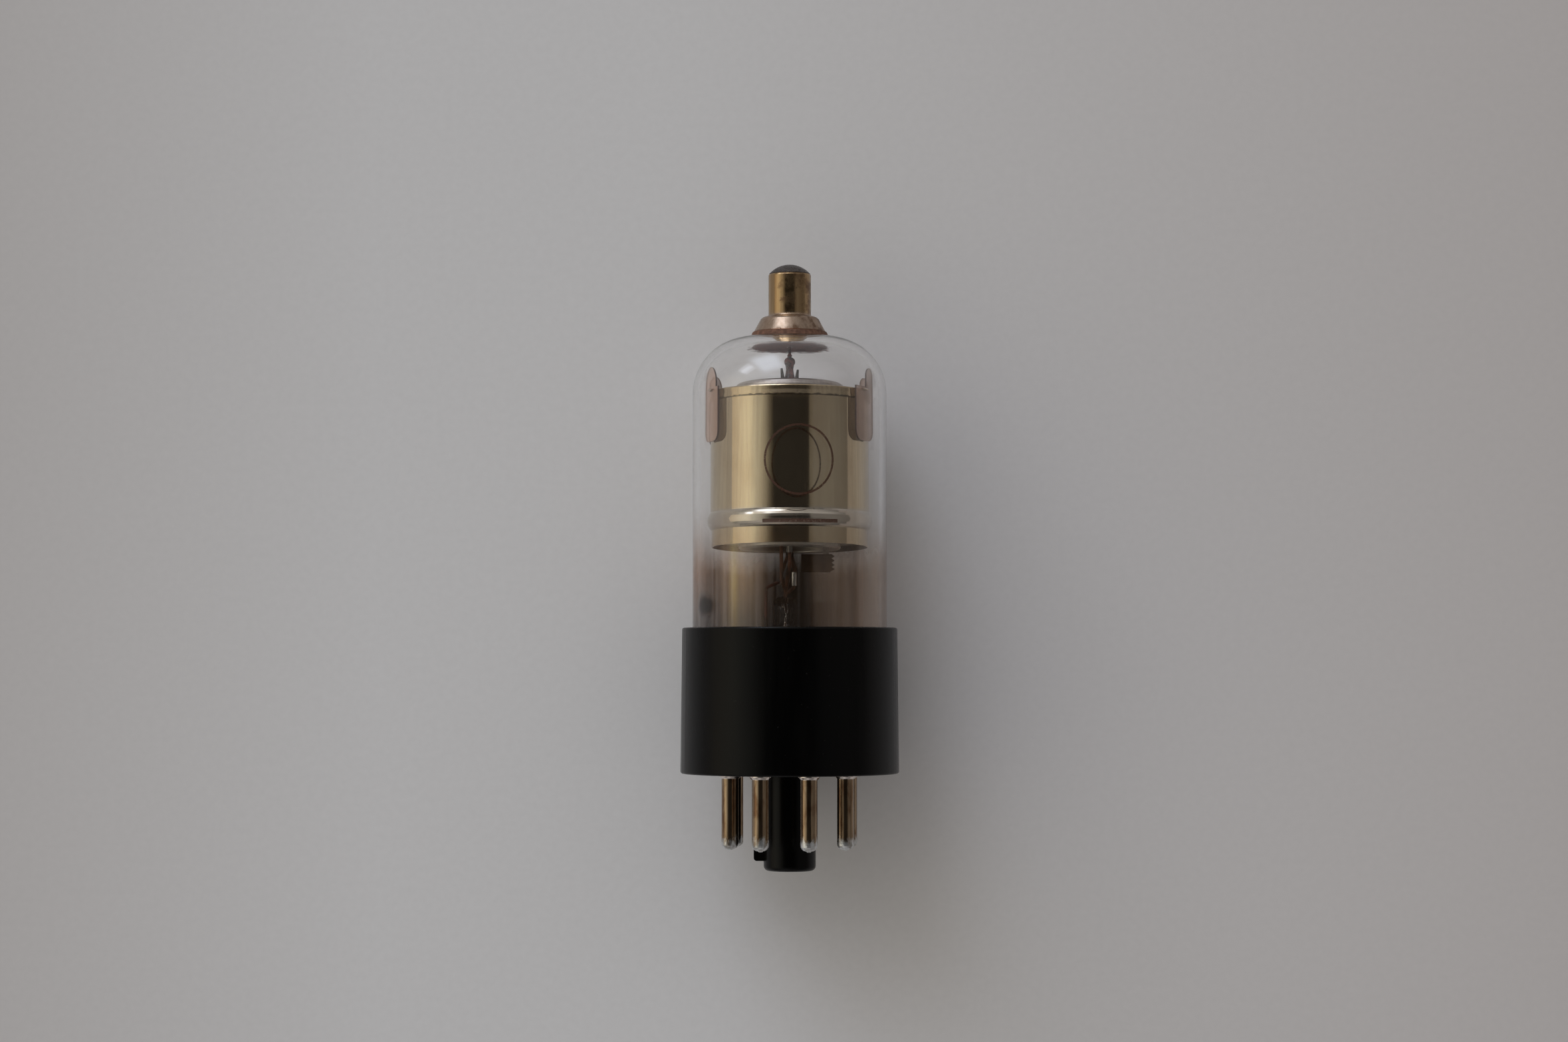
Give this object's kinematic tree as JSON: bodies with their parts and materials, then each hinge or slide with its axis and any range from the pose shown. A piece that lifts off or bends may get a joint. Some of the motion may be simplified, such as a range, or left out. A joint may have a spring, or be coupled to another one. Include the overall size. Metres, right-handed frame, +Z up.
{
  "type": "pentode tube",
  "caption": "Glass pentode with a keyed plug-in base, a top cap, and its screened electrodes and stem seen through the glass, lying at rest.",
  "frame": {"origin": "on the surface that the tube lies on, under the middle of its length and width", "axes": "+Y along the tube from the pins to the cap, +Z up, +X to the right seen from above with the cap away"},
  "size_m": [0.0306, 0.0852, 0.0312],
  "materials": {
    "phenolic": "moulded, satin with a few pale specks",
    "cement": "matt",
    "bulb_glass": "clear, smoky brown towards the base",
    "stem_glass": "clear, thick",
    "bead_glass": "reddish-brown, translucent",
    "pin_metal": "worn nickel plating over brass",
    "solder": "dull, cast",
    "cap_metal": "nickel plated, tarnished in patches",
    "screen_metal": "drawn, with a warm oxide tint",
    "bright_wire": "bright",
    "lead_wire": "oxidised, reddish-black",
    "electrode": "dull",
    "getter_metal": "fired, dark",
    "mica": "split sheet, pinkish-brown",
    "coating": "sprayed, white"
  },
  "bodies": {
    "root": {"anode": "electrode", "anode_rod_1": "electrode", "anode_rod_2": "electrode", "base_cement": "cement", "base_shell": "phenolic", "bottom_mica": "mica", "cap_cement": "cement", "cap_solder": "solder", "cathode": "coating", "contact_pin_1": "pin_metal", "contact_pin_2": "pin_metal", "contact_pin_3": "pin_metal", "contact_pin_4": "pin_metal", "contact_pin_5": "pin_metal", "contact_pin_7": "pin_metal", "contact_pin_8": "pin_metal", "control_grid": "bright_wire", "control_rod_1": "electrode", "control_rod_2": "electrode", "getter": "getter_metal", "getter_strap": "electrode", "glass_bulb": "bulb_glass", "glass_stem": "stem_glass", "grid_lead": "lead_wire", "grid_strap": "electrode", "heater": "coating", "lead_bead": "bead_glass", "lead_collar": "screen_metal", "mica_bumper_1": "mica", "mica_bumper_2": "mica", "mica_bumper_3": "mica", "mica_bumper_4": "mica", "screen_grid": "bright_wire", "screen_rod_1": "electrode", "screen_rod_2": "electrode", "shield_can": "screen_metal", "shield_floor": "screen_metal", "shield_lid": "screen_metal", "shield_post": "lead_wire", "stem_lead_1": "lead_wire", "stem_lead_2": "lead_wire", "stem_lead_3": "lead_wire", "stem_lead_4": "lead_wire", "stem_lead_5": "lead_wire", "stem_lead_7": "lead_wire", "stem_lead_8": "lead_wire", "suppressor_grid": "bright_wire", "suppressor_rod_1": "electrode", "suppressor_rod_2": "electrode", "tip_solder": "solder", "top_cap": "cap_metal", "top_mica": "mica", "weld_sleeve": "bright_wire"}
  },
  "joints": []
}
